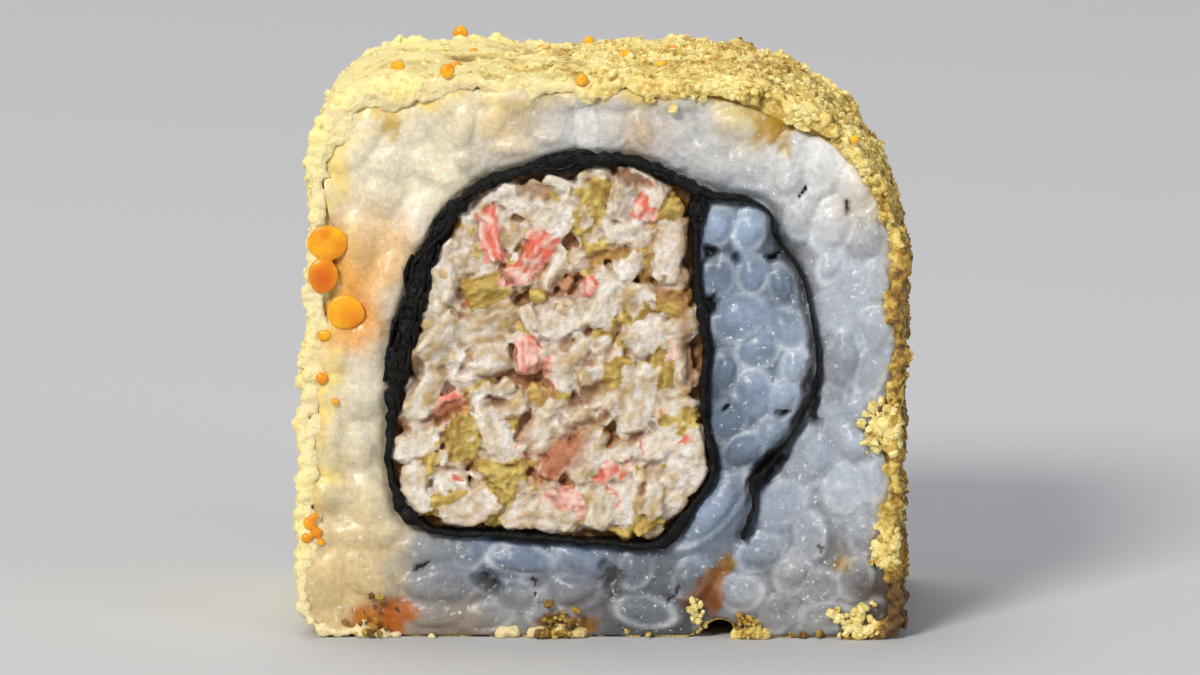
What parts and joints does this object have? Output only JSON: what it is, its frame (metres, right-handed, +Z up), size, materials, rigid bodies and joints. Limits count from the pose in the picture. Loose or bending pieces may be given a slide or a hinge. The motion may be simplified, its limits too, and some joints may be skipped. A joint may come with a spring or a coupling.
{
  "type": "uramaki roll",
  "caption": "Cut piece of inside-out sushi roll: crumb-coated rice round a spiral nori sheet and a chopped seafood filling, standing on its coated side.",
  "frame": {"origin": "middle of the flat foot that the piece stands on", "axes": "+X to the right across the front cut face, +Y from the front cut face to the back one, +Z up"},
  "size_m": [0.042, 0.0248, 0.0391],
  "materials": {
    "crumb_coat": "granular fried crumb",
    "rice": "moist",
    "nori": "moist",
    "filling": "moist"
  },
  "bodies": {
    "root": {"crumb_coat": "crumb_coat", "rice": "rice", "nori": "nori", "filling": "filling"}
  },
  "joints": []
}
